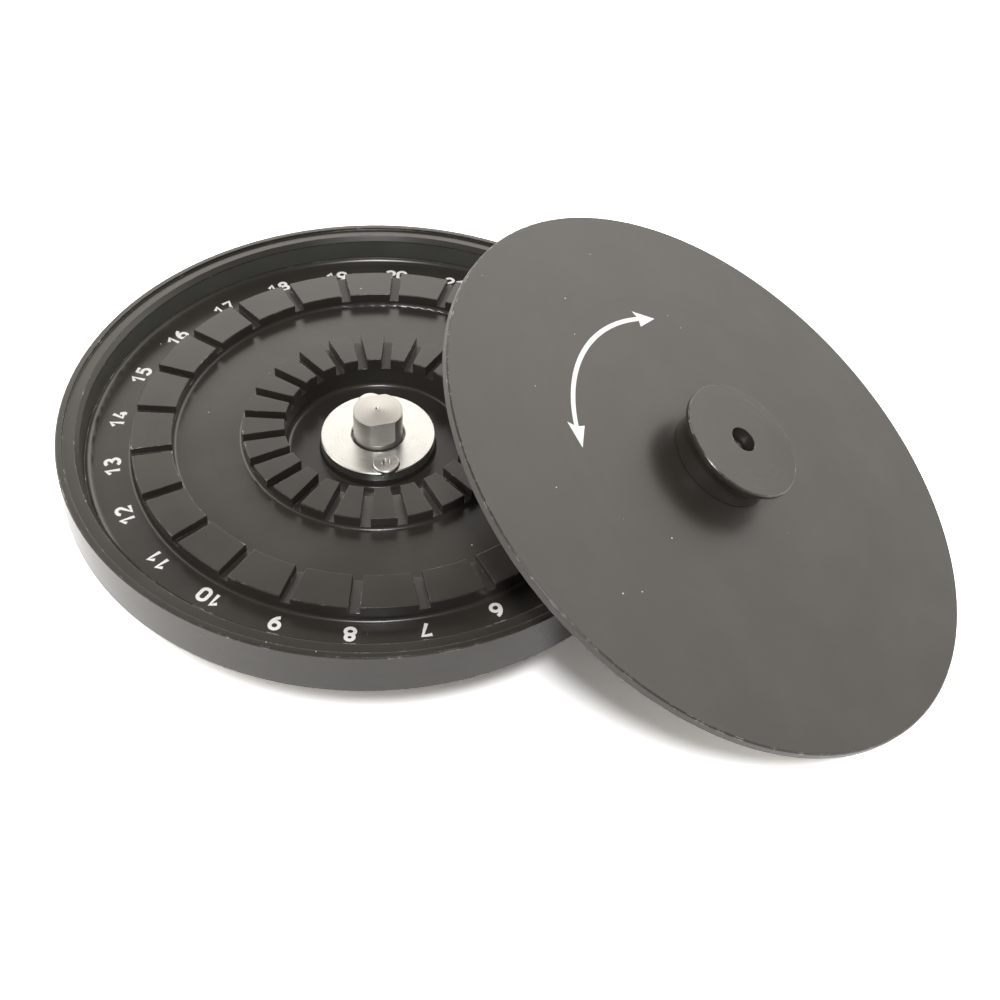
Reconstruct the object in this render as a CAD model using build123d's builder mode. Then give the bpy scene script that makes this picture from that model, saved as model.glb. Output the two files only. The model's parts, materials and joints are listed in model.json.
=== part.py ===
from build123d import *
import os
from math import cos, radians, sin, tan

# A 24-place capillary tube rotor with its lid taken off. Millimetres, +Z up along the rotor's shaft.
# The origin is the centre of the shaft bore, on the surface that the hub stands on.
# Tube place 1 lies along +X, and the numbers run clockwise seen from above.

# Rotor heights, counted up from the surface that the hub stands on
hub_height = 24.4
disc_web = 4.1
block_height = 5.35
rim_rise = 5.1
lid_seat_depth = 0.9
seat_chamfer_height = 1.45
middle_floor_rise = 0.95
well_depth = 11.15
shoulder_height = 6.4

# Rotor widths, counted outward from the cover plate
well_width = 10.6
inner_ring_width = 12.5
middle_channel_width = 20.6
outer_ring_width = 11.8
number_channel_width = 14.0
seat_chamfer_width = 1.3
lid_seat_width = 3.4
rim_lip = 1.9

# Underside widths, counted outward from the flange of the bush
hub_wall = 5.0
shoulder_width = 12.0

# Corners left by the turning tool
wall_foot_fillet = 2.6
seat_foot_fillet = 0.3
ring_foot_fillet = 1.2
well_foot_fillet = 1.6
boss_foot_fillet = 0.8
hub_fillet = 3.0
shoulder_fillet = 1.5
rim_edge_break = 0.35
block_edge_break = 0.2
underside_edge_break = 0.7

# Tube slots, milled through both rings of blocks
slot_count = 24
slot_width = 3.0
slot_outer_depth = 2.2
slot_slope = 2.1
slot_overrun = 1.0

# Rubber ring that the tube ends are thrown against
gasket_thickness = 2.0
gasket_lip_height = 1.4
gasket_lip_width = 0.6
gasket_lip_splay = 0.8
gasket_upper_lip = 0.3
gasket_gap = 0.02

# Stainless cover plate over the hub, and its two screws
plate_thickness = 3.0
plate_drop = 5.35
plate_hole_gap = 0.6
plate_edge_break = 0.3
plate_screw_wall = 1.4
plate_screw_edge = 3.8
plate_screw_count = 2
plate_screw_angle = -90.0
plate_screw_radius = 2.0
plate_screw_length = 9.0
plate_screw_head_radius = 4.0
plate_screw_head_height = 2.3
plate_screw_proud = 0.8
plate_screw_head_gap = 0.15
plate_screw_edge_break = 0.3
star_recess_radius = 1.35
star_lobe_radius = 0.45
star_lobe_count = 6
star_recess_depth = 1.3

# Clamping nut, held captive under the cover plate
nut_radius = 7.5
nut_flat_depth = 1.0
nut_rise = 4.85
nut_ledge_rise = 1.7
nut_cone_drop = 0.6
nut_centre_mark_radius = 0.9
nut_centre_mark_depth = 0.7
nut_turn = 3.3
nut_flange_width = 2.5
nut_flange_thickness = 3.0
nut_thread_radius = 3.4
nut_thread_roof = 3.3
nut_end_play = 0.1
nut_side_gap = 0.3
washer_thickness = 0.8
washer_hole_gap = 0.2

# Steel bush that fits the motor shaft
shaft_radius = 6.0
bush_wall = 4.0
bush_top_drop = 4.0
bush_flange_thickness = 4.0
bush_gap = 0.02
shaft_passage_gap = 0.5
drive_slot_width = 3.0
drive_slot_depth = 3.5
bush_screw_inset = 3.5
bush_screw_edge = 3.5
bush_screw_count = 3
bush_screw_radius = 1.5
bush_screw_hex = 2.0
bush_screw_head_radius = 2.9
bush_screw_length = 10.0
bush_screw_sink = 0.1
screw_gap = 0.05
hex_recess_depth = 1.0

# Lid, which leans on the rim beside the rotor with its edge on the table
lid_clearance = 0.3
lid_thickness = 2.6
lid_top_edge_break = 0.35
lid_lower_edge_break = 0.25
lid_tilt = 28.75
lid_azimuth = -24.7
lid_sideways = -4.7
lid_rest_gap = 0.3

# Hub under the middle of the lid
lid_hub_wall = 3.7
lid_hub_height = 8.4
lid_spigot_wall = 2.95
lid_hub_edge_break = 0.5
press_gap = 0.02

# Socket that drops over the clamping nut and turns with the knob
socket_clearance = 0.1
socket_wall = 1.4
socket_running_gap = 0.05
socket_flange_width = 2.0
socket_flange_gap = 0.3
socket_flange_thickness = 3.2
socket_set_back = 0.2
socket_roof_drop = 1.3
socket_spigot_step = 2.0
socket_spigot_height = 2.0
thrust_ring_thickness = 0.9
thrust_ring_gap = 0.1
grip_ring_inset = 0.4
grip_ring_section = 0.9
grip_ring_gap = 0.05
grip_ring_height = 1.6

# Knob, standing on a slip washer on the lid
knob_height = 10.9
knob_cap_overhang = 2.95
knob_cap_thickness = 1.8
knob_skirt_wall = 1.75
knob_lift = 0.25
knob_edge_break = 0.3
knob_neck_fillet = 0.4
knob_screw_bore_gap = 0.6
knob_web = 1.85
slip_washer_width = 5.5
slip_washer_thickness = 0.45
slip_washer_gap = 0.1
knob_screw_radius = 2.0
knob_screw_head_radius = 3.5
knob_screw_head_height = 2.2
knob_screw_hex = 2.5
dowel_radius = 1.0
dowel_inset = 1.9
dowel_count = 2
dowel_top_drop = 0.4
dowel_tail = 0.8

# Heights that follow
underside_z = hub_height
number_floor_z = underside_z + disc_web
deck_z = number_floor_z + block_height
rim_top_z = deck_z + rim_rise
seat_z = rim_top_z - lid_seat_depth
wall_top_z = seat_z - seat_chamfer_height
middle_floor_z = number_floor_z + middle_floor_rise
well_floor_z = deck_z - well_depth
shoulder_z = underside_z - shoulder_height
gasket_low_z = number_floor_z + gasket_lip_height
gasket_top_z = wall_top_z - gasket_upper_lip
plate_top_z = deck_z - plate_drop
plate_seat_z = plate_top_z - plate_thickness
nut_flange_top_z = plate_seat_z - nut_end_play
nut_bottom_z = nut_flange_top_z - nut_flange_thickness
washer_top_z = nut_bottom_z - nut_end_play
cavity_floor_z = washer_top_z - washer_thickness
bush_length = cavity_floor_z - bush_top_drop
nut_top_z = deck_z + nut_rise
nut_ledge_z = plate_top_z + nut_ledge_rise
nut_thread_top_z = nut_top_z - nut_thread_roof

# Radii that follow, from the clamping nut out to the rim
nut_half_flats = nut_radius - nut_flat_depth
nut_flange_radius = nut_radius + nut_flange_width
nut_cavity_radius = nut_flange_radius + nut_side_gap
plate_hole_radius = nut_radius + plate_hole_gap
plate_screw_circle = nut_cavity_radius + plate_screw_wall + plate_screw_radius
plate_radius = plate_screw_circle + plate_screw_edge
inner_ring_inner_radius = plate_radius + well_width
inner_ring_outer_radius = inner_ring_inner_radius + inner_ring_width
outer_ring_inner_radius = inner_ring_outer_radius + middle_channel_width
outer_ring_outer_radius = outer_ring_inner_radius + outer_ring_width
wall_radius = outer_ring_outer_radius + number_channel_width
gasket_groove_radius = wall_radius + gasket_thickness
gasket_lip_radius = wall_radius - gasket_lip_width
number_floor_radius = gasket_lip_radius - gasket_lip_splay
seat_radius = wall_radius + seat_chamfer_width
recess_radius = seat_radius + lid_seat_width
rim_radius = recess_radius + rim_lip

# Radii that follow, from the motor shaft out to the shoulder
shaft_passage_radius = shaft_radius + shaft_passage_gap
washer_hole_radius = shaft_passage_radius + washer_hole_gap
bush_radius = shaft_radius + bush_wall
bush_screw_circle = bush_radius + bush_screw_inset
bush_flange_radius = bush_screw_circle + bush_screw_edge
hub_radius = bush_flange_radius + hub_wall
shoulder_radius = hub_radius + shoulder_width

# Radii that follow, from the bore of the lock socket out to the knob's cap
socket_bore_radius = nut_radius + socket_clearance
socket_half_flats = nut_half_flats + socket_clearance
grip_ring_radius = socket_bore_radius + grip_ring_inset
socket_journal_radius = socket_bore_radius + socket_wall
socket_spigot_radius = socket_journal_radius - socket_spigot_step
dowel_circle = socket_spigot_radius - dowel_inset
socket_flange_radius = socket_journal_radius + socket_flange_width
lid_hub_bore_radius = socket_journal_radius + socket_running_gap
lid_counterbore_radius = socket_flange_radius + socket_flange_gap
lid_spigot_radius = lid_hub_bore_radius + lid_spigot_wall
lid_hub_radius = lid_counterbore_radius + lid_hub_wall
ring_bore_radius = socket_journal_radius + socket_flange_gap
slip_washer_radius = socket_journal_radius + slip_washer_width
knob_recess_radius = slip_washer_radius + slip_washer_gap
knob_neck_radius = knob_recess_radius + knob_skirt_wall
knob_cap_radius = knob_neck_radius + knob_cap_overhang
knob_screw_bore_radius = knob_screw_head_radius + knob_screw_bore_gap


def turned(plane, corners):
    """Closed profile of (across, up, corner radius) points, drawn on the plane of the section."""
    with BuildSketch(plane) as profile:
        with BuildLine():
            FilletPolyline(
                *[(across, up) for across, up, _ in corners],
                radius=[corner for _, _, corner in corners],
                close=True,
            )
        make_face()
    return profile.sketch


# Rotor body: one turned piece of aluminium. Its floor carries two rings of blocks, with a deep well
# around the hub inside them, and the rim outside has the seat for the lid.
rotor_profile = [
    (bush_flange_radius + bush_gap, 0, 0),
    (bush_flange_radius + bush_gap, bush_flange_thickness, 0),
    (bush_radius + bush_gap, bush_flange_thickness, 0),
    (bush_radius + bush_gap, bush_length, 0),
    (shaft_passage_radius, bush_length, 0),
    (shaft_passage_radius, cavity_floor_z, 0),
    (nut_cavity_radius, cavity_floor_z, 0),
    (nut_cavity_radius, plate_seat_z, 0),
    (plate_radius, plate_seat_z, 0),
    (plate_radius, well_floor_z, boss_foot_fillet),
    (inner_ring_inner_radius, well_floor_z, well_foot_fillet),
    (inner_ring_inner_radius, deck_z - block_edge_break, 0),
    (inner_ring_inner_radius + block_edge_break, deck_z, 0),
    (inner_ring_outer_radius - block_edge_break, deck_z, 0),
    (inner_ring_outer_radius, deck_z - block_edge_break, 0),
    (inner_ring_outer_radius, middle_floor_z, ring_foot_fillet),
    (outer_ring_inner_radius, middle_floor_z, ring_foot_fillet),
    (outer_ring_inner_radius, deck_z - block_edge_break, 0),
    (outer_ring_inner_radius + block_edge_break, deck_z, 0),
    (outer_ring_outer_radius - block_edge_break, deck_z, 0),
    (outer_ring_outer_radius, deck_z - block_edge_break, 0),
    (outer_ring_outer_radius, number_floor_z, ring_foot_fillet),
    (number_floor_radius, number_floor_z, wall_foot_fillet),
    (gasket_lip_radius, gasket_low_z, 0),
    (gasket_groove_radius, gasket_low_z, 0),
    (gasket_groove_radius, gasket_top_z, 0),
    (wall_radius, gasket_top_z, 0),
    (wall_radius, wall_top_z, 0),
    (seat_radius, seat_z, 0),
    (recess_radius, seat_z, seat_foot_fillet),
    (recess_radius, rim_top_z, 0),
    (rim_radius - rim_edge_break, rim_top_z, 0),
    (rim_radius, rim_top_z - rim_edge_break, 0),
    (rim_radius, underside_z + underside_edge_break, 0),
    (rim_radius - underside_edge_break, underside_z, 0),
    (shoulder_radius, underside_z, shoulder_fillet),
    (shoulder_radius, shoulder_z, shoulder_fillet),
    (hub_radius, shoulder_z, hub_fillet),
    (hub_radius, underside_edge_break, 0),
    (hub_radius - underside_edge_break, 0, 0),
]

slot_inner_end = inner_ring_inner_radius - slot_overrun
slot_outer_end = outer_ring_outer_radius + slot_overrun
slot_middle = (slot_inner_end + slot_outer_end) / 2
slot_length = slot_outer_end - slot_inner_end
slot_middle_depth = slot_outer_depth + (outer_ring_outer_radius - slot_middle) * tan(radians(slot_slope))

with BuildPart() as rotor_body:
    add(turned(Plane.XZ, rotor_profile))
    revolve(axis=Axis.Z)
    # Each slot runs through both rings, and its floor rises a little towards the rim.
    with Locations((0, 0, deck_z - slot_middle_depth)):
        with PolarLocations(slot_middle, slot_count):
            Box(
                slot_length,
                slot_width,
                rim_rise + block_height,
                rotation=(0, -slot_slope, 0),
                align=(Align.CENTER, Align.CENTER, Align.MIN),
                mode=Mode.SUBTRACT,
            )
    # Tapped holes under the cover plate
    with BuildSketch(Plane.XY.offset(plate_seat_z)):
        with PolarLocations(plate_screw_circle, plate_screw_count, start_angle=plate_screw_angle):
            Circle(plate_screw_radius + screw_gap)
    extrude(amount=-plate_screw_length, mode=Mode.SUBTRACT)
    # Tapped holes over the flange of the bush
    with BuildSketch(Plane.XY.offset(bush_flange_thickness)):
        with PolarLocations(bush_screw_circle, bush_screw_count):
            Circle(bush_screw_radius + screw_gap)
    extrude(amount=bush_screw_length - bush_flange_thickness, mode=Mode.SUBTRACT)

# Rubber ring in the groove of the wall, its face flush with the wall above it
gasket_profile = [
    (wall_radius, gasket_low_z + gasket_gap, 0),
    (gasket_groove_radius - gasket_gap, gasket_low_z + gasket_gap, 0),
    (gasket_groove_radius - gasket_gap, gasket_top_z - gasket_gap, 0),
    (wall_radius, gasket_top_z - gasket_gap, 0),
]
with BuildPart() as rim_gasket:
    add(turned(Plane.XZ, gasket_profile))
    revolve(axis=Axis.Z)

# Cover plate: a stainless disc that keeps the clamping nut in, with two counterbored screw holes
plate_bore_depth = plate_screw_head_height - plate_screw_proud
with BuildPart() as hub_plate:
    with BuildSketch(Plane.XY.offset(plate_seat_z)):
        Circle(plate_radius)
        Circle(plate_hole_radius, mode=Mode.SUBTRACT)
    extrude(amount=plate_thickness)
    chamfer(
        hub_plate.edges().filter_by(GeomType.CIRCLE).group_by(Axis.Z)[-1],
        length=plate_edge_break,
    )
    with BuildSketch(Plane.XY.offset(plate_top_z)):
        with PolarLocations(plate_screw_circle, plate_screw_count, start_angle=plate_screw_angle):
            Circle(plate_screw_head_radius + plate_screw_head_gap)
    extrude(amount=-plate_bore_depth, mode=Mode.SUBTRACT)
    with BuildSketch(Plane.XY.offset(plate_seat_z)):
        with PolarLocations(plate_screw_circle, plate_screw_count, start_angle=plate_screw_angle):
            Circle(plate_screw_radius + screw_gap)
    extrude(amount=plate_thickness, mode=Mode.SUBTRACT)

# Two low-headed machine screws with a six-lobed recess
plate_screw_seat_z = plate_top_z - plate_bore_depth
plate_screw_top_z = plate_top_z + plate_screw_proud
with BuildPart() as hub_screws:
    with BuildSketch(Plane.XY.offset(plate_screw_seat_z)):
        with PolarLocations(plate_screw_circle, plate_screw_count, start_angle=plate_screw_angle):
            Circle(plate_screw_head_radius)
    extrude(amount=plate_screw_head_height)
    chamfer(
        hub_screws.edges().filter_by(GeomType.CIRCLE).group_by(Axis.Z)[-1],
        length=plate_screw_edge_break,
    )
    with BuildSketch(Plane.XY.offset(plate_screw_seat_z)):
        with PolarLocations(plate_screw_circle, plate_screw_count, start_angle=plate_screw_angle):
            Circle(plate_screw_radius)
    extrude(amount=-plate_screw_length)
    with BuildSketch(Plane.XY.offset(plate_screw_top_z)):
        with PolarLocations(plate_screw_circle, plate_screw_count, start_angle=plate_screw_angle):
            Circle(star_recess_radius)
            with PolarLocations(star_recess_radius, star_lobe_count):
                Circle(star_lobe_radius)
    extrude(amount=-star_recess_depth, mode=Mode.SUBTRACT)

# Clamping nut: a round stainless post with two spanner flats, a collar under the cover plate,
# and a blind thread for the end of the motor shaft
nut_profile = [
    (nut_thread_radius, nut_bottom_z, 0),
    (nut_flange_radius, nut_bottom_z, 0),
    (nut_flange_radius, nut_flange_top_z, 0),
    (nut_radius, nut_flange_top_z, 0),
    (nut_radius, nut_top_z - nut_cone_drop, 0),
    (nut_centre_mark_radius, nut_top_z, 0),
    (0, nut_top_z - nut_centre_mark_depth, 0),
    (0, nut_thread_top_z, 0),
    (nut_thread_radius, nut_thread_top_z, 0),
]
with BuildPart() as clamp_nut:
    add(turned(Plane.XZ, nut_profile))
    revolve(axis=Axis.Z)
    with BuildSketch(Plane.XY.offset(nut_ledge_z)):
        with Locations(Rotation(0, 0, nut_turn)):
            with Locations((0, nut_half_flats), (0, -nut_half_flats - nut_radius)):
                Rectangle(2 * nut_radius, nut_radius, align=(Align.CENTER, Align.MIN))
    extrude(amount=nut_top_z - nut_ledge_z, mode=Mode.SUBTRACT)

# Bronze thrust washer under the collar of the clamping nut
with BuildPart() as thrust_washer:
    with BuildSketch(Plane.XY.offset(cavity_floor_z)):
        Circle(nut_flange_radius)
        Circle(washer_hole_radius, mode=Mode.SUBTRACT)
    extrude(amount=washer_thickness)

# Drive bush: a flanged steel sleeve in the hub, bored for the motor shaft.
# The slot across its lower face takes the drive pin of the shaft.
with BuildPart() as drive_bush:
    with BuildSketch():
        Circle(bush_flange_radius)
    extrude(amount=bush_flange_thickness)
    with BuildSketch():
        Circle(bush_radius)
    extrude(amount=bush_length)
    with BuildSketch():
        Circle(shaft_radius)
    extrude(amount=bush_length, mode=Mode.SUBTRACT)
    with BuildSketch():
        Rectangle(2 * bush_radius, drive_slot_width)
    extrude(amount=drive_slot_depth, mode=Mode.SUBTRACT)
    with BuildSketch():
        with PolarLocations(bush_screw_circle, bush_screw_count):
            Circle(bush_screw_radius + screw_gap)
    extrude(amount=bush_flange_thickness, mode=Mode.SUBTRACT)
    bush_screw_cone = bush_screw_head_radius - bush_screw_radius
    with PolarLocations(bush_screw_circle, bush_screw_count):
        Cone(
            bush_screw_head_radius + bush_screw_sink + screw_gap,
            bush_screw_radius + screw_gap,
            bush_screw_cone + bush_screw_sink,
            align=(Align.CENTER, Align.CENTER, Align.MIN),
            mode=Mode.SUBTRACT,
        )

# Three countersunk screws that hold the bush up in the hub
with BuildPart() as bush_screws:
    with Locations((0, 0, bush_screw_sink)):
        with PolarLocations(bush_screw_circle, bush_screw_count):
            Cone(
                bush_screw_head_radius,
                bush_screw_radius,
                bush_screw_cone,
                align=(Align.CENTER, Align.CENTER, Align.MIN),
            )
            Cylinder(
                bush_screw_radius,
                bush_screw_length - bush_screw_sink - screw_gap,
                align=(Align.CENTER, Align.CENTER, Align.MIN),
            )
    with BuildSketch(Plane.XY.offset(bush_screw_sink)):
        with PolarLocations(bush_screw_circle, bush_screw_count):
            RegularPolygon(bush_screw_hex / 2, 6, major_radius=False)
    extrude(amount=hex_recess_depth, mode=Mode.SUBTRACT)

# Where the lid lies: its lower edge on the table, its hub just over the outer edge of the rim
lid_radius = recess_radius - lid_clearance
tilt_sine = sin(radians(lid_tilt))
tilt_cosine = cos(radians(lid_tilt))
lid_z = (lid_radius - lid_lower_edge_break) * tilt_sine + lid_thickness * tilt_cosine
lid_depth_over_rim = lid_thickness + lid_hub_height + lid_rest_gap
lid_along = rim_radius + (lid_depth_over_rim - (lid_z - rim_top_z) * tilt_cosine) / tilt_sine
lean_x = cos(radians(lid_azimuth))
lean_y = sin(radians(lid_azimuth))
lid_centre = Vector(
    lid_along * lean_x - lid_sideways * lean_y,
    lid_along * lean_y + lid_sideways * lean_x,
    lid_z,
)
lid_up = Vector(tilt_sine * lean_x, tilt_sine * lean_y, tilt_cosine)
lid_downhill = Vector(tilt_cosine * lean_x, tilt_cosine * lean_y, -tilt_sine)
lid_face = Plane(origin=lid_centre, x_dir=lid_downhill, z_dir=lid_up)
lid_section = Plane(origin=lid_centre, x_dir=lid_downhill, z_dir=lid_downhill.cross(lid_up))
lid_axis = Axis(lid_centre, lid_up)

# Lid heights, counted from the lid's top face
lid_hub_bottom = -lid_thickness - lid_hub_height
socket_bottom = lid_hub_bottom + socket_set_back
socket_flange_top = socket_bottom + socket_flange_thickness
thrust_ring_bottom = socket_flange_top + thrust_ring_gap
lid_counterbore_roof = thrust_ring_bottom + thrust_ring_thickness
socket_shoulder = slip_washer_thickness + slip_washer_gap
socket_top = socket_shoulder + socket_spigot_height
knob_screw_bore_floor = socket_top + knob_web
grip_ring_level = socket_bottom + grip_ring_height

# Lid plate: a flat aluminium disc with a hole for its hub
with BuildPart() as lid_plate:
    with BuildSketch(lid_face):
        Circle(lid_radius)
    extrude(amount=-lid_thickness)
    chamfer(lid_plate.edges().group_by(lid_axis)[-1], length=lid_top_edge_break)
    chamfer(lid_plate.edges().group_by(lid_axis)[0], length=lid_lower_edge_break)
    with BuildSketch(lid_face):
        Circle(lid_spigot_radius + press_gap)
    extrude(amount=-lid_thickness, mode=Mode.SUBTRACT)

# Lid hub: a flanged bush pressed into the plate from below, which carries the turning socket
lid_hub_profile = [
    (lid_hub_bore_radius, 0, 0),
    (lid_hub_bore_radius, lid_counterbore_roof, 0),
    (lid_counterbore_radius, lid_counterbore_roof, 0),
    (lid_counterbore_radius, lid_hub_bottom, 0),
    (lid_hub_radius - lid_hub_edge_break, lid_hub_bottom, 0),
    (lid_hub_radius, lid_hub_bottom + lid_hub_edge_break, 0),
    (lid_hub_radius, -lid_thickness, 0),
    (lid_spigot_radius, -lid_thickness, 0),
    (lid_spigot_radius, 0, 0),
]
with BuildPart() as lid_hub:
    add(turned(lid_section, lid_hub_profile))
    revolve(axis=lid_axis)

# Slip washer on the lid under the knob
with BuildPart() as slip_washer:
    with BuildSketch(lid_face):
        Circle(slip_washer_radius)
        Circle(ring_bore_radius, mode=Mode.SUBTRACT)
    extrude(amount=slip_washer_thickness)

# Thrust ring between the collar of the socket and the lid hub
with BuildPart() as thrust_ring:
    with BuildSketch(lid_face.offset(thrust_ring_bottom)):
        Circle(socket_flange_radius)
        Circle(ring_bore_radius, mode=Mode.SUBTRACT)
    extrude(amount=thrust_ring_thickness)

# Lock socket: its bore has two flats that fit those of the clamping nut,
# and a groove near the mouth for the ring that grips the nut
socket_profile = [
    (0, -socket_roof_drop, 0),
    (socket_bore_radius, -socket_roof_drop, 0),
    (socket_bore_radius, socket_bottom, 0),
    (socket_flange_radius, socket_bottom, 0),
    (socket_flange_radius, socket_flange_top, 0),
    (socket_journal_radius, socket_flange_top, 0),
    (socket_journal_radius, socket_shoulder, 0),
    (socket_spigot_radius, socket_shoulder, 0),
    (socket_spigot_radius, socket_top, 0),
    (0, socket_top, 0),
]
with BuildPart() as lock_socket:
    add(turned(lid_section, socket_profile))
    revolve(axis=lid_axis)
    # The two flats inside the bore
    with BuildSketch(lid_face.offset(socket_bottom)):
        Circle(socket_bore_radius)
        Rectangle(2 * socket_bore_radius, 2 * socket_half_flats, mode=Mode.SUBTRACT)
    extrude(amount=-socket_roof_drop - socket_bottom)
    # Groove for the grip ring
    groove_half = grip_ring_section + grip_ring_gap
    with BuildSketch(lid_face.offset(grip_ring_level - groove_half)):
        Circle(grip_ring_radius + groove_half)
    extrude(amount=2 * groove_half, mode=Mode.SUBTRACT)
    # Holes for the screw and the dowels of the knob
    with BuildSketch(lid_face.offset(socket_top)):
        Circle(knob_screw_radius + screw_gap)
    extrude(amount=-socket_top - socket_roof_drop, mode=Mode.SUBTRACT)
    with BuildSketch(lid_face.offset(socket_top)):
        with PolarLocations(dowel_circle, dowel_count):
            Circle(dowel_radius + press_gap)
    extrude(amount=-socket_top - dowel_tail, mode=Mode.SUBTRACT)

# Grip ring: a rubber ring in the groove of the socket
with BuildPart() as grip_ring:
    with BuildSketch(lid_section):
        with Locations((grip_ring_radius, grip_ring_level)):
            Circle(grip_ring_section)
    revolve(axis=lid_axis)

# Knob: a turned neck with a wider cap, clamped on the socket by one screw in the middle
knob_profile = [
    (knob_screw_radius + screw_gap, socket_top, 0),
    (socket_spigot_radius + press_gap, socket_top, 0),
    (socket_spigot_radius + press_gap, socket_shoulder, 0),
    (knob_recess_radius, socket_shoulder, 0),
    (knob_recess_radius, knob_lift, 0),
    (knob_neck_radius, knob_lift, 0),
    (knob_neck_radius, knob_height - knob_cap_thickness, knob_neck_fillet),
    (knob_cap_radius - knob_edge_break, knob_height - knob_cap_thickness, 0),
    (knob_cap_radius, knob_height - knob_cap_thickness + knob_edge_break, 0),
    (knob_cap_radius, knob_height - knob_edge_break, 0),
    (knob_cap_radius - knob_edge_break, knob_height, 0),
    (knob_screw_bore_radius, knob_height, 0),
    (knob_screw_bore_radius, knob_screw_bore_floor, 0),
    (knob_screw_radius + screw_gap, knob_screw_bore_floor, 0),
]
with BuildPart() as knob:
    add(turned(lid_section, knob_profile))
    revolve(axis=lid_axis)
    with BuildSketch(lid_face.offset(socket_top)):
        with PolarLocations(dowel_circle, dowel_count):
            Circle(dowel_radius + press_gap)
    extrude(amount=knob_screw_bore_floor - dowel_top_drop - socket_top, mode=Mode.SUBTRACT)

# Knob screw: a low cap screw with a hexagon recess
with BuildPart() as knob_screw:
    with BuildSketch(lid_face.offset(knob_screw_bore_floor)):
        Circle(knob_screw_head_radius)
    extrude(amount=knob_screw_head_height)
    chamfer(knob_screw.edges().group_by(lid_axis)[-1], length=knob_edge_break)
    with BuildSketch(lid_face.offset(-socket_roof_drop + screw_gap)):
        Circle(knob_screw_radius)
    extrude(amount=knob_screw_bore_floor + socket_roof_drop - screw_gap)
    with BuildSketch(lid_face.offset(knob_screw_bore_floor + knob_screw_head_height)):
        RegularPolygon(knob_screw_hex / 2, 6, major_radius=False)
    extrude(amount=-hex_recess_depth, mode=Mode.SUBTRACT)

# Two dowels that make the socket turn with the knob
with BuildPart() as knob_dowels:
    with BuildSketch(lid_face.offset(-dowel_tail + press_gap)):
        with PolarLocations(dowel_circle, dowel_count):
            Circle(dowel_radius)
    extrude(amount=knob_screw_bore_floor - dowel_top_drop + dowel_tail - 2 * press_gap)

pieces = {
    "rotor_body": rotor_body,
    "rim_gasket": rim_gasket,
    "hub_plate": hub_plate,
    "hub_screws": hub_screws,
    "clamp_nut": clamp_nut,
    "thrust_washer": thrust_washer,
    "drive_bush": drive_bush,
    "bush_screws": bush_screws,
    "lid_plate": lid_plate,
    "lid_hub": lid_hub,
    "slip_washer": slip_washer,
    "thrust_ring": thrust_ring,
    "lock_socket": lock_socket,
    "grip_ring": grip_ring,
    "knob": knob,
    "knob_screw": knob_screw,
    "knob_dowels": knob_dowels,
}

os.makedirs("parts", exist_ok=True)
for name, piece in pieces.items():
    piece.part.label = name
    export_step(piece.part, f"parts/{name}.step")

print("lid centre", lid_centre, "lid axis", lid_up, "knob top", knob_height)
print("heights", deck_z, rim_top_z, number_floor_z, plate_top_z, nut_top_z)
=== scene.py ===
import json
from math import cos, hypot, pi, radians, sin
import bpy
from mathutils import Matrix, Vector


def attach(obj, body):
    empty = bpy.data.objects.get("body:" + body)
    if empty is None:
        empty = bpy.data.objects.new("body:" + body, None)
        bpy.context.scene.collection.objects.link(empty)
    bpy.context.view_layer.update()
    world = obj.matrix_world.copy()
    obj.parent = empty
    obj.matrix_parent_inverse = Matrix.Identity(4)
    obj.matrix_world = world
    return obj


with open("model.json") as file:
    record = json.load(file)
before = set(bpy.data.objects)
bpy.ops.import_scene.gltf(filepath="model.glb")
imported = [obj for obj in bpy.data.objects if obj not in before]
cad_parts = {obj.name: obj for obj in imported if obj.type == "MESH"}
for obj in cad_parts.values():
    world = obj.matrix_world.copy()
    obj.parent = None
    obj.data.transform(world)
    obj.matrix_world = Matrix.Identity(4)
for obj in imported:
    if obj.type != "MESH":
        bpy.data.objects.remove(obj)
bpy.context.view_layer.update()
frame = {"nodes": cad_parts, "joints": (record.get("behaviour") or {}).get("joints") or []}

nodes = frame["nodes"]
mm = 0.001


# Rotor body: one piece of aluminium alloy, faced and bored on a lathe, with 24 tube slots milled
# through its two rings of blocks. Black anodising leaves a satin skin, slightly warm, in which the
# turning marks still show. It has worn through to bright metal in places along the corners.
turning_feed = 0.9 * mm        # the real feed is about 0.15 mm, drawn coarser so that it shows
band_width = 7.0 * mm          # slow change of tone from one pass of the tool to the next
band_share = 0.2               # how far the bands count in the tone, next to the finger marks
grain_size = 0.5 * mm          # etched grain of the anodising, drawn coarser so that it shows
grain_share = 0.6              # how deep the grain is, next to the turning marks
skin_bump = 0.07
skin_depth = 0.02 * mm
smudge_size = 26.0 * mm        # finger marks
pale_start, pale_full = 0.5, 0.85
gloss_low, gloss_high, gloss_spread = 0.6, 1.4, 0.02
dust_spacing = 6.0 * mm
dust_radius = 0.24 * mm
dustless_share = 0.35          # cells of the grid that stay clean
corner_wear = 0.35 * mm
corner_start, corner_full = 0.985, 0.90   # how far the rounded surface turns from the face
chip_size = 4.0 * mm
chip_start, chip_full = 0.62, 0.72
black_skin = "34312D"
black_skin_pale = "3D3A35"
bare_aluminium = "C9C6C0"
lint = "D8D5CE"


def colour(code):
    """sRGB hex to the linear values that shaders take."""
    parts = [int(code[i:i + 2], 16) / 255 for i in (0, 2, 4)]
    return [p / 12.92 if p <= 0.04045 else ((p + 0.055) / 1.055) ** 2.4 for p in parts] + [1.0]


def add(tree, kind, settings=None, sockets=None):
    """Adds a node; settings are its own properties, sockets its inputs by name or number."""
    made = tree.nodes.new(kind)
    for name, value in (settings or {}).items():
        setattr(made, name, value)
    for key, value in (sockets or {}).items():
        if isinstance(value, bpy.types.NodeSocket):
            tree.links.new(value, made.inputs[key])
        else:
            made.inputs[key].default_value = value
    return made


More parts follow.
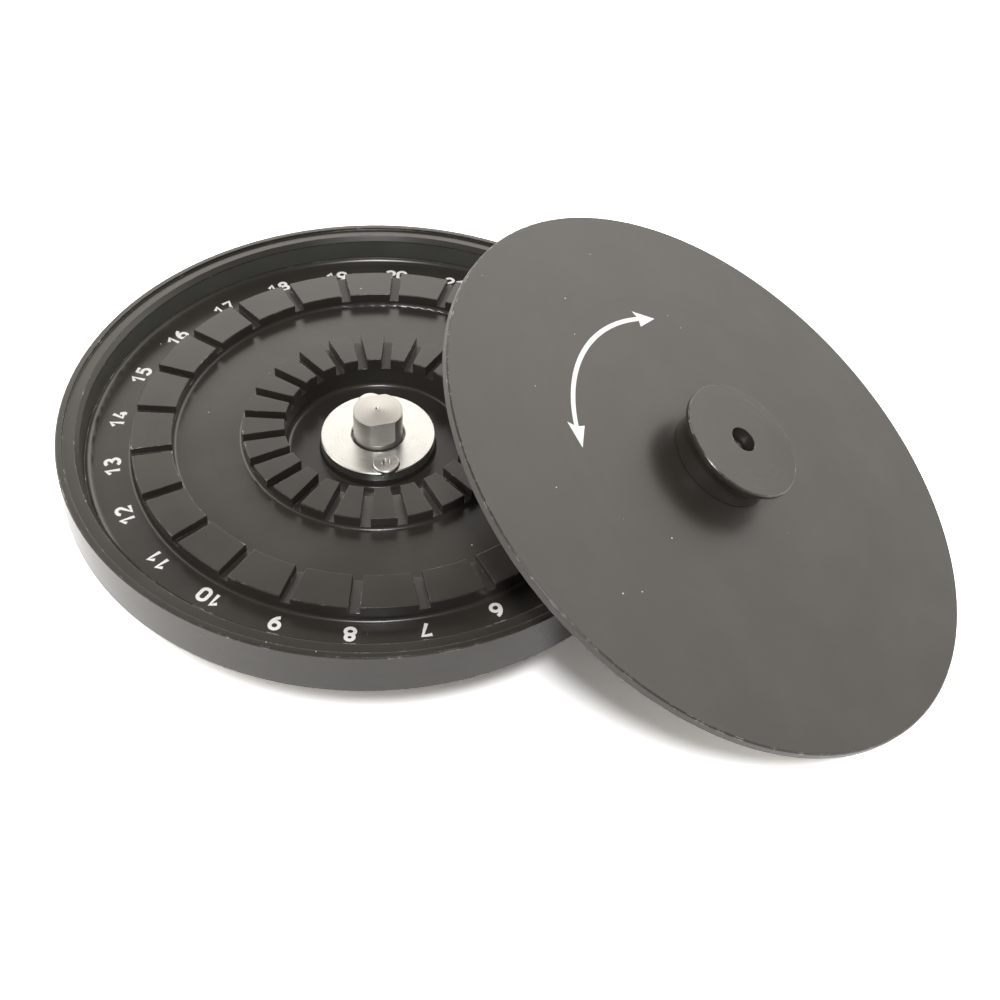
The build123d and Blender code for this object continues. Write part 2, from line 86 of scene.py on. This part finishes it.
def new_material(name):
    """An empty node material with its Principled shader and output."""
    material = bpy.data.materials.new(name)
    material.use_nodes = True
    tree = material.node_tree
    tree.nodes.clear()
    shader = add(tree, "ShaderNodeBsdfPrincipled")
    add(tree, "ShaderNodeOutputMaterial", sockets={"Surface": shader.outputs[0]})
    return material, tree, shader


def dress(node_name, material):
    """Gives a node of the frame its finish."""
    mesh = nodes[node_name].data
    mesh.materials.clear()
    mesh.materials.append(material)


def turned_place(tree, axis_frame):
    """Place about a turning axis, and a length that runs on along the turned section."""
    seat, turn = axis_frame.to_translation(), axis_frame.to_euler()
    coords = add(tree, "ShaderNodeTexCoord").outputs["Object"]
    local = add(tree, "ShaderNodeMapping", {"vector_type": "TEXTURE"},
                {"Vector": coords, "Location": seat, "Rotation": turn}).outputs[0]
    flat = add(tree, "ShaderNodeVectorMath", {"operation": "MULTIPLY"},
               {0: local, 1: (1, 1, 0)}).outputs[0]
    radius = add(tree, "ShaderNodeVectorMath", {"operation": "LENGTH"}, {0: flat}).outputs["Value"]
    height = add(tree, "ShaderNodeSeparateXYZ", sockets={0: local}).outputs["Z"]
    along = add(tree, "ShaderNodeMath", {"operation": "ADD"}, {0: radius, 1: height}).outputs[0]
    return local, along


def anodised_aluminium(name, axis_frame, roughness, wear):
    """Black anodised and turned: satin, with tool rings, dust, finger marks and bright corners."""
    material, tree, shader = new_material(name)
    local, along = turned_place(tree, axis_frame)
    rings = add(tree, "ShaderNodeTexNoise", {"noise_dimensions": "1D"},
                {"W": along, "Scale": 1 / turning_feed, "Detail": 2.0}).outputs["Fac"]
    bands = add(tree, "ShaderNodeTexNoise", {"noise_dimensions": "1D"},
                {"W": along, "Scale": 1 / band_width, "Detail": 3.0, "Roughness": 0.7}).outputs["Fac"]
    grain = add(tree, "ShaderNodeTexNoise",
                sockets={"Vector": local, "Scale": 1 / grain_size}).outputs["Fac"]
    smudges = add(tree, "ShaderNodeTexNoise",
                  sockets={"Vector": local, "Scale": 1 / smudge_size, "Detail": 4.0}).outputs["Fac"]

    tone = add(tree, "ShaderNodeMath", {"operation": "MULTIPLY_ADD"},
               {0: bands, 1: band_share, 2: smudges}).outputs[0]
    pale = add(tree, "ShaderNodeMapRange",
               sockets={"Value": tone, "From Min": pale_start, "From Max": pale_full}).outputs[0]
    skin = add(tree, "ShaderNodeMix", {"data_type": "RGBA"},
               {"Factor": pale, 6: colour(black_skin), 7: colour(black_skin_pale)}).outputs[2]

    # Bright corners, where the skin is chipped or rubbed away
    rounded = add(tree, "ShaderNodeBevel", {"samples": 4}, {"Radius": corner_wear}).outputs[0]
    face = add(tree, "ShaderNodeNewGeometry").outputs["Normal"]
    agree = add(tree, "ShaderNodeVectorMath", {"operation": "DOT_PRODUCT"},
                {0: rounded, 1: face}).outputs["Value"]
    corner = add(tree, "ShaderNodeMapRange",
                 sockets={"Value": agree, "From Min": corner_start, "From Max": corner_full}).outputs[0]
    rubbed = add(tree, "ShaderNodeTexNoise",
                 sockets={"Vector": local, "Scale": 1 / chip_size, "Detail": 5.0,
                          "Roughness": 0.75}).outputs["Fac"]
    chipped = add(tree, "ShaderNodeMapRange",
                  sockets={"Value": rubbed, "From Min": chip_start - wear,
                           "From Max": chip_full - wear}).outputs[0]
    bare = add(tree, "ShaderNodeMath", {"operation": "MULTIPLY"}, {0: corner, 1: chipped}).outputs[0]
    metal = add(tree, "ShaderNodeMix", {"data_type": "RGBA"},
                {"Factor": bare, 6: skin, 7: colour(bare_aluminium)}).outputs[2]

    # Specks of dust: a small dot in some of the cells of a loose grid
    cells = add(tree, "ShaderNodeTexVoronoi", sockets={"Vector": local, "Scale": 1 / dust_spacing})
    chance = add(tree, "ShaderNodeSeparateColor", sockets={0: cells.outputs["Color"]})
    limit = add(tree, "ShaderNodeMath", {"operation": "MULTIPLY"},
                {0: chance.outputs[0], 1: dust_radius / dust_spacing}).outputs[0]
    speck = add(tree, "ShaderNodeMath", {"operation": "LESS_THAN"},
                {0: cells.outputs["Distance"], 1: limit}).outputs[0]
    some = add(tree, "ShaderNodeMath", {"operation": "GREATER_THAN"},
               {0: chance.outputs[1], 1: dustless_share}).outputs[0]
    dust = add(tree, "ShaderNodeMath", {"operation": "MULTIPLY"}, {0: speck, 1: some}).outputs[0]
    dusty = add(tree, "ShaderNodeMix", {"data_type": "RGBA"},
                {"Factor": dust, 6: metal, 7: colour(lint)}).outputs[2]

    gloss = add(tree, "ShaderNodeMath", {"operation": "ADD"}, {0: smudges, 1: rings}).outputs[0]
    matt = add(tree, "ShaderNodeMapRange",
               sockets={"Value": gloss, "From Min": gloss_low, "From Max": gloss_high,
                        "To Min": roughness - gloss_spread, "To Max": roughness + gloss_spread}).outputs[0]
    relief = add(tree, "ShaderNodeMath", {"operation": "MULTIPLY_ADD"},
                 {0: grain, 1: grain_share, 2: rings}).outputs[0]
    bump = add(tree, "ShaderNodeBump",
               sockets={"Height": relief, "Strength": skin_bump, "Distance": skin_depth,
                        "Normal": rounded}).outputs[0]
    finish = {"Base Color": dusty, "Roughness": matt, "Metallic": bare, "Normal": bump}
    for socket, value in finish.items():
        tree.links.new(value, shader.inputs[socket])
    return material


rotor_axis = Matrix.Identity(4)
rotor_roughness = 0.25
rotor_wear = 0.06
dress("rotor_body", anodised_aluminium("black_anodised_turned_aluminium", rotor_axis,
                                       rotor_roughness, rotor_wear))


# Rubber ring: moulded black rubber in a groove of the wall, which the closed ends of the tubes
# are thrown against. Matt, with a faint bloom and fine pores.
rubber_black = "464742"
rubber_bloom = "565751"
rubber_roughness = 0.55
bloom_size = 9.0 * mm
pore_size = 0.6 * mm
pore_bump = 0.4
pore_depth = 0.05 * mm
rubber, tree, shader = new_material("moulded_black_rubber")
local = turned_place(tree, rotor_axis)[0]
bloom = add(tree, "ShaderNodeTexNoise",
            sockets={"Vector": local, "Scale": 1 / bloom_size, "Detail": 5.0}).outputs["Fac"]
pores = add(tree, "ShaderNodeTexNoise",
            sockets={"Vector": local, "Scale": 1 / pore_size, "Detail": 3.0}).outputs["Fac"]
tint = add(tree, "ShaderNodeMix", {"data_type": "RGBA"},
           {"Factor": bloom, 6: colour(rubber_black), 7: colour(rubber_bloom)}).outputs[2]
bump = add(tree, "ShaderNodeBump",
           sockets={"Height": pores, "Strength": pore_bump, "Distance": pore_depth}).outputs[0]
shader.inputs["Roughness"].default_value = rubber_roughness
tree.links.new(tint, shader.inputs["Base Color"])
tree.links.new(bump, shader.inputs["Normal"])
dress("rim_gasket", rubber)


# Cover plate and clamping nut: stainless steel turned with a fine feed and left bright. The
# rings of the tool blur what they mirror, so the plate shows the post as a soft dark streak.
# The nut, milled on two sides and handled with a spanner, is duller and greyer.
steel_pale = "E2E1DE"
steel_dull = "D5D4D0"
nut_pale = "BFBCB8"
nut_dull = "AFACA8"
steel_feed = 0.5 * mm          # the real feed is about 0.08 mm, drawn coarser so that it shows
stain_size = 5.0 * mm
stain_start, stain_full = 0.7, 1.3
steel_low, steel_high, steel_spread = 0.6, 1.4, 0.05
steel_bump = 0.12
steel_depth = 0.01 * mm
plate_roughness = 0.30
nut_roughness = 0.46


def turned_steel(name, axis_frame, roughness, light, dark, feed):
    """Turned metal: fine rings and a few duller patches."""
    material, tree, shader = new_material(name)
    local, along = turned_place(tree, axis_frame)
    rings = add(tree, "ShaderNodeTexNoise", {"noise_dimensions": "1D"},
                {"W": along, "Scale": 1 / feed, "Detail": 2.0}).outputs["Fac"]
    cloud = add(tree, "ShaderNodeTexNoise",
                sockets={"Vector": local, "Scale": 1 / stain_size, "Detail": 4.0}).outputs["Fac"]
    mixed = add(tree, "ShaderNodeMath", {"operation": "ADD"}, {0: rings, 1: cloud}).outputs[0]
    part = add(tree, "ShaderNodeMapRange",
               sockets={"Value": mixed, "From Min": stain_start, "From Max": stain_full}).outputs[0]
    tint = add(tree, "ShaderNodeMix", {"data_type": "RGBA"},
               {"Factor": part, 6: colour(dark), 7: colour(light)}).outputs[2]
    matt = add(tree, "ShaderNodeMapRange",
               sockets={"Value": mixed, "From Min": steel_low, "From Max": steel_high,
                        "To Min": roughness - steel_spread, "To Max": roughness + steel_spread}).outputs[0]
    bump = add(tree, "ShaderNodeBump",
               sockets={"Height": rings, "Strength": steel_bump, "Distance": steel_depth}).outputs[0]
    shader.inputs["Metallic"].default_value = 1.0
    for socket, value in {"Base Color": tint, "Roughness": matt, "Normal": bump}.items():
        tree.links.new(value, shader.inputs[socket])
    return material


dress("hub_plate", turned_steel("turned_stainless_steel", rotor_axis, plate_roughness,
                                steel_pale, steel_dull, steel_feed))
dress("clamp_nut", turned_steel("milled_stainless_nut", rotor_axis, nut_roughness,
                                nut_pale, nut_dull, steel_feed))


# Screws: bright zinc plated steel, cold headed, so their heads are smooth with a soft sheen.
# Two hold the cover plate, three the bush under the rotor, and one the knob.
zinc_pale = "DEDCD8"
zinc_dull = "C9C7C2"
zinc_roughness = 0.34
zinc_ripple = 1.2 * mm
zinc = turned_steel("zinc_plated_screw_steel", rotor_axis, zinc_roughness,
                    zinc_pale, zinc_dull, zinc_ripple)
for screw in ("hub_screws", "bush_screws", "knob_screw"):
    dress(screw, zinc)


# Drive bush and the knob's dowels: ground tool steel, lightly oiled, darker and glossier than
# the stainless pieces. The bush is a sleeve in the hub that fits the motor shaft.
bush_pale = "8E8C88"
bush_dark = "6F6D6A"
bush_roughness = 0.22
grinding_feed = 0.6 * mm
ground_steel = turned_steel("ground_tool_steel", rotor_axis, bush_roughness,
                            bush_pale, bush_dark, grinding_feed)
dress("drive_bush", ground_steel)
dress("knob_dowels", ground_steel)


# Thrust rings: flat rings stamped from bearing bronze, one under the nut's collar and one over
# the socket's. What turns on them has rubbed them to a dull gold.
bronze_pale = "B08D57"
bronze_dull = "8C6A3E"
bronze_roughness = 0.38
bronze_rub = 0.8 * mm
bronze = turned_steel("rubbed_bearing_bronze", rotor_axis, bronze_roughness,
                      bronze_pale, bronze_dull, bronze_rub)
dress("thrust_washer", bronze)
dress("thrust_ring", bronze)


# Lid: a flat disc of the same black anodised aluminium, faced in one pass from its middle, and
# its hub below. The lid leans beside the rotor, so its marks run about its own tilted axis.
knob_joint = next(joint for joint in frame["joints"] if joint["name"] == "knob_turn")
lid_up = Vector(knob_joint["axis"]).normalized()
lid_side = Vector((0, 0, 1)).cross(lid_up).normalized()
lid_downhill = lid_side.cross(lid_up)
lid_axis = Matrix((lid_downhill, lid_side, lid_up)).transposed().to_4x4()
lid_axis.translation = Vector(knob_joint["pos_m"])
lid_roughness = 0.36
lid_wear = 0.10
lid_skin = anodised_aluminium("black_anodised_faced_aluminium", lid_axis, lid_roughness, lid_wear)
dress("lid_plate", lid_skin)
dress("lid_hub", lid_skin)


# Slip washer: a thin ring of waxy white acetal, cut from sheet. It lies loose under the knob
# and lets it turn on the lid.
wax_white = "DAD8D0"
wax_shade = "C6C3B9"
wax_roughness = 0.45
wax_cloud = 4.0 * mm
plastic, tree, shader = new_material("waxy_acetal_plastic")
local = turned_place(tree, lid_axis)[0]
cloud = add(tree, "ShaderNodeTexNoise",
            sockets={"Vector": local, "Scale": 1 / wax_cloud, "Detail": 4.0}).outputs["Fac"]
tint = add(tree, "ShaderNodeMix", {"data_type": "RGBA"},
           {"Factor": cloud, 6: colour(wax_white), 7: colour(wax_shade)}).outputs[2]
shader.inputs["Roughness"].default_value = wax_roughness
tree.links.new(tint, shader.inputs["Base Color"])
dress("slip_washer", plastic)


# Lock socket and its grip ring: a bright turned socket that takes the head of the clamping nut,
# with a black rubber ring in its groove to hold the lid on.
socket_roughness = 0.28
dress("lock_socket", turned_steel("turned_stainless_socket", lid_axis, socket_roughness,
                                  steel_pale, steel_dull, steel_feed))
dress("grip_ring", rubber)


# Knob: turned from aluminium bar and anodised black like the lid, but smoother, as the hand
# takes hold of it. One screw and two dowels fix it to the socket below.
knob_roughness = 0.26
knob_wear = 0.08
dress("knob", anodised_aluminium("black_anodised_knob_aluminium", lid_axis, knob_roughness, knob_wear))


# Tube numbers: 1 to 24 in white printing ink on the floor outside the blocks, one beside each
# slot, tops outward. Each is drawn with one even stroke, as a lettering stencil gives it.
number_height = 5.1 * mm
number_width = 3.7 * mm
number_stroke = 1.08 * mm
number_gap = 1.2 * mm
number_radius = 78.1 * mm
print_shift = (-0.56 * mm, 0.62 * mm)   # the print sits slightly off the rotor's axis
ink_thickness = 0.05 * mm
ink_white = "FBFAF8"
ink_worn = "D6D4CF"
ink_roughness = 0.5
ink_patch = 2.5 * mm
worn_start, worn_full = 0.60, 0.72
number_floor = 28.5 * mm       # height of the floor that carries the numbers
place_count = 24


def arc(x, y, rx, ry, start, end, steps=14):
    """Points of an elliptical arc, angles in degrees."""
    turns = [radians(start + (end - start) * i / steps) for i in range(steps + 1)]
    return [(x + rx * cos(t), y + ry * sin(t)) for t in turns]


# Strokes of each digit, in a frame that is 1 wide and 1 high between the middles of its strokes
digit_strokes = {
    "0": [arc(0.5, 0.71, 0.5, 0.29, 0, 180) + arc(0.5, 0.29, 0.5, 0.29, 180, 360) + [(1.0, 0.71)]],
    "1": [[(0.05, 0.68), (0.62, 1.0), (0.62, 0.0)]],
    "2": [arc(0.5, 0.72, 0.48, 0.28, 165, -38) + [(0.0, 0.0), (1.0, 0.0)]],
    "3": [arc(0.48, 0.76, 0.42, 0.24, 150, -90) + arc(0.48, 0.27, 0.5, 0.27, 80, -155)],
    "4": [[(0.56, 1.0), (0.0, 0.24), (1.0, 0.24)], [(0.72, 0.52), (0.72, 0.0)]],
    "5": [[(0.92, 1.0), (0.18, 1.0), (0.10, 0.54)] + arc(0.48, 0.32, 0.52, 0.32, 118, -150)],
    "6": [arc(0.5, 0.31, 0.5, 0.31, 180, 540), arc(1.0, 0.31, 1.0, 0.72, 180, 104)],
    "7": [[(0.0, 1.0), (1.0, 1.0), (0.34, 0.0)]],
    "8": [arc(0.5, 0.76, 0.42, 0.24, 0, 360), arc(0.5, 0.27, 0.5, 0.27, 0, 360)],
    "9": [arc(0.5, 0.69, 0.5, 0.31, 0, 360), arc(0.0, 0.69, 1.0, 0.72, 0, -76)],
}


def ink_strokes(name, strokes, thickness, at):
    """A flattened ribbon of ink along each list of points, laid on the plane of the matrix."""
    curve = bpy.data.curves.new(name, "CURVE")
    curve.dimensions = "3D"
    curve.bevel_depth = thickness / 2
    curve.bevel_resolution = 2
    curve.use_fill_caps = True
    for points in strokes:
        (first_x, first_y), (last_x, last_y) = points[0], points[-1]
        closed = hypot(first_x - last_x, first_y - last_y) < thickness / 100
        kept = points[:-1] if closed else points
        spline = curve.splines.new("POLY")
        spline.points.add(len(kept) - 1)
        for point, (x, y) in zip(spline.points, kept):
            point.co = (x, y, 0, 1)
        spline.use_cyclic_u = closed
        spline.use_smooth = False
    piece = bpy.data.objects.new(name, curve)
    bpy.context.scene.collection.objects.link(piece)
    piece.matrix_world = at @ Matrix.Diagonal((1, 1, ink_thickness / thickness, 1))
    return piece


ink, tree, shader = new_material("white_printing_ink")
coords = add(tree, "ShaderNodeTexCoord").outputs["Object"]
patches = add(tree, "ShaderNodeTexNoise",
              sockets={"Vector": coords, "Scale": 1 / ink_patch, "Detail": 6.0,
                       "Roughness": 0.7}).outputs["Fac"]
thin = add(tree, "ShaderNodeMapRange",
           sockets={"Value": patches, "From Min": worn_start, "From Max": worn_full}).outputs[0]
tint = add(tree, "ShaderNodeMix", {"data_type": "RGBA"},
           {"Factor": thin, 6: colour(ink_white), 7: colour(ink_worn)}).outputs[2]
shader.inputs["Roughness"].default_value = ink_roughness
tree.links.new(tint, shader.inputs["Base Color"])

body_height = number_height - number_stroke
body_width = number_width - number_stroke
pitch = body_width + number_gap
number_strokes = []
for place in range(place_count):
    outward = -2 * pi * place / place_count
    digits = str(place + 1)
    for index, digit in enumerate(digits):
        shift = (index - (len(digits) - 1) / 2) * pitch
        for stroke in digit_strokes[digit]:
            laid = []
            for x, y in stroke:
                right = shift + (x - 0.5) * body_width
                up = number_radius + (y - 0.5) * body_height
                laid.append((up * cos(outward) + right * sin(outward),
                             up * sin(outward) - right * cos(outward)))
            number_strokes.append(laid)
print_place = Matrix.Translation((*print_shift, number_floor))
numbers = ink_strokes("tube_numbers", number_strokes, number_stroke, print_place)
numbers.data.materials.append(ink)
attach(numbers, "rotor")


# Turning arrow: a double-headed arc in the same white ink on the lid, beside the knob. It
# shows the two ways in which the knob turns.
arrow_radius = 51.3 * mm
arrow_line = 1.5 * mm
arrow_start = 133.5            # degrees about the lid's axis, from its downhill side
arrow_end = 203.0
arrow_steps = 48
arrow_head_length = 7.0 * mm
arrow_head_width = 5.8 * mm
arrow_notch = 0.9 * mm
arrow_points = arc(0, 0, arrow_radius, arrow_radius, arrow_start, arrow_end, arrow_steps)
arrow = ink_strokes("turning_arrow_line", [arrow_points], arrow_line, lid_axis)
arrow.data.materials.append(ink)
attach(arrow, "lid")
for side, angle, way in (("back", arrow_start, -1), ("front", arrow_end, 1)):
    foot = Vector((cos(radians(angle)), sin(radians(angle)), 0)) * arrow_radius
    forward = Vector((-sin(radians(angle)), cos(radians(angle)), 0)) * way
    across = forward.cross(Vector((0, 0, 1)))
    tip_angle = radians(angle) + way * arrow_head_length / arrow_radius
    tip = Vector((cos(tip_angle), sin(tip_angle), 0)) * arrow_radius
    outline = [tip, foot + across * arrow_head_width / 2 - forward * arrow_notch, foot,
               foot - across * arrow_head_width / 2 - forward * arrow_notch]
    lift = Vector((0, 0, ink_thickness / 2))
    faces = [(0, 1, 2), (0, 2, 3), (6, 5, 4), (7, 6, 4),
             (0, 4, 5, 1), (1, 5, 6, 2), (2, 6, 7, 3), (3, 7, 4, 0)]
    mesh = bpy.data.meshes.new("turning_arrow_head_" + side)
    mesh.from_pydata([p + lift for p in outline] + [p - lift for p in outline], [], faces)
    mesh.materials.append(ink)
    head = bpy.data.objects.new("turning_arrow_head_" + side, mesh)
    bpy.context.scene.collection.objects.link(head)
    head.matrix_world = lid_axis
    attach(head, "lid")


# Studio: a white table that runs on past the view and is lit until it burns out, so its shadows
# stay tight. A wall of soft boxes glows low behind the rotor, the room fades overhead and behind
# the camera, and one small lamp above the camera draws the bright lines along the rounded feet.
table_size = 6.0
table_white = "FFFFFF"
table_overlit = 1.9            # times white, as the camera and the gloss see the table
table_bounce = "D9D9D9"
room_white = "FFFBF4"
room_low = 1.15                # strength of the room near the table
room_bright = 4.2              # and of the soft boxes above it
low_edge = 0.30                # heights in the room: 0 is level with the eye, 1 is straight up
bright_edge = 0.44
fade_start = 0.42
fade_end = 0.84
camera_side = -0.35            # depths in the room: -1 is behind the camera, 1 behind the rotor
rotor_side = 0.5
behind_camera = 0.22
behind_rotor = 1.10
lamp_strength = 1.8
lamp_heading = -101.0
lamp_height = 60.0
lamp_angle = 9.0
mesh = bpy.data.meshes.new("table")
half = table_size / 2
corners = [(-half, -half, 0), (half, -half, 0), (half, half, 0), (-half, half, 0)]
mesh.from_pydata(corners, [], [(0, 1, 2, 3)])
table = bpy.data.objects.new("table", mesh)
bpy.context.scene.collection.objects.link(table)
material = bpy.data.materials.new("white_table")
material.use_nodes = True
tree = material.node_tree
tree.nodes.clear()
path = add(tree, "ShaderNodeLightPath")
seen = add(tree, "ShaderNodeMath", {"operation": "MAXIMUM"},
           {0: path.outputs["Is Camera Ray"], 1: path.outputs["Is Glossy Ray"]}).outputs[0]
seen = add(tree, "ShaderNodeMath", {"operation": "MAXIMUM"},
           {0: seen, 1: path.outputs["Is Transmission Ray"]}).outputs[0]
burnt_white = [table_overlit * part for part in colour(table_white)[:3]] + [1.0]
shown = add(tree, "ShaderNodeBsdfDiffuse", sockets={"Color": burnt_white}).outputs[0]
bounced = add(tree, "ShaderNodeBsdfDiffuse", sockets={"Color": colour(table_bounce)}).outputs[0]
mixed = add(tree, "ShaderNodeMixShader", sockets={0: seen, 1: bounced, 2: shown}).outputs[0]
add(tree, "ShaderNodeOutputMaterial", sockets={"Surface": mixed})
mesh.materials.append(material)

world = bpy.data.worlds.new("pale_room")
bpy.context.scene.world = world
world.use_nodes = True
tree = world.node_tree
tree.nodes.clear()
path = add(tree, "ShaderNodeLightPath")
way = add(tree, "ShaderNodeSeparateXYZ",
          sockets={0: add(tree, "ShaderNodeTexCoord").outputs["Generated"]})
boxes = add(tree, "ShaderNodeMapRange",
            sockets={"Value": way.outputs["Z"], "From Min": low_edge, "From Max": bright_edge,
                     "To Min": room_low, "To Max": room_bright}).outputs[0]
fade = add(tree, "ShaderNodeMapRange", {"interpolation_type": "SMOOTHSTEP"},
           {"Value": way.outputs["Z"], "From Min": fade_start, "From Max": fade_end,
            "To Min": 1.0, "To Max": 0.0}).outputs[0]
side = add(tree, "ShaderNodeMapRange",
           sockets={"Value": way.outputs["Y"], "From Min": camera_side, "From Max": rotor_side,
                    "To Min": behind_camera, "To Max": behind_rotor}).outputs[0]
level = add(tree, "ShaderNodeMath", {"operation": "MULTIPLY"}, {0: boxes, 1: fade}).outputs[0]
level = add(tree, "ShaderNodeMath", {"operation": "MULTIPLY"}, {0: level, 1: side}).outputs[0]
level = add(tree, "ShaderNodeMix", {"data_type": "FLOAT"},
            {"Factor": path.outputs["Is Camera Ray"], 2: level, 3: 1.0}).outputs[0]
tint = add(tree, "ShaderNodeMix", {"data_type": "RGBA"},
           {"Factor": path.outputs["Is Camera Ray"], 6: colour(room_white), 7: colour(table_white)}).outputs[2]
back = add(tree, "ShaderNodeBackground", sockets={"Color": tint, "Strength": level}).outputs[0]
add(tree, "ShaderNodeOutputWorld", sockets={"Surface": back})

lamp_data = bpy.data.lights.new("small_lamp", "SUN")
lamp_data.energy = lamp_strength
lamp_data.angle = radians(lamp_angle)
lamp = bpy.data.objects.new("small_lamp", lamp_data)
bpy.context.scene.collection.objects.link(lamp)
lamp.rotation_euler = (radians(90 - lamp_height), 0, radians(lamp_heading + 90))
bpy.context.scene.view_settings.view_transform = "Standard"


# Camera: where the photograph was taken from, about half a metre away and looking down at the
# rotor, with its picture shifted a little towards the upper left.
camera_place = Vector((-53.77, -323.99, 347.74)) * mm
camera_heading = 19.264
camera_dip = 41.849
camera_roll = 5.807
camera_lens = 53.174
film_width = 36.0
picture_width = 1000
picture_middle = picture_width / 2
view_centre_x = 567.1
view_centre_y = 380.4
camera = bpy.data.objects.new("camera", bpy.data.cameras.new("camera"))
bpy.context.scene.collection.objects.link(camera)
camera.data.sensor_width = film_width
camera.data.lens = camera_lens
camera.data.shift_x = (picture_middle - view_centre_x) / picture_width
camera.data.shift_y = (view_centre_y - picture_middle) / picture_width
camera.data.clip_start = 0.01
camera.matrix_world = (
    Matrix.Translation(camera_place)
    @ Matrix.Rotation(radians(-camera_heading), 4, "Z")
    @ Matrix.Rotation(radians(90 - camera_dip), 4, "X")
    @ Matrix.Rotation(radians(camera_roll), 4, "Z")
)
bpy.context.scene.camera = camera
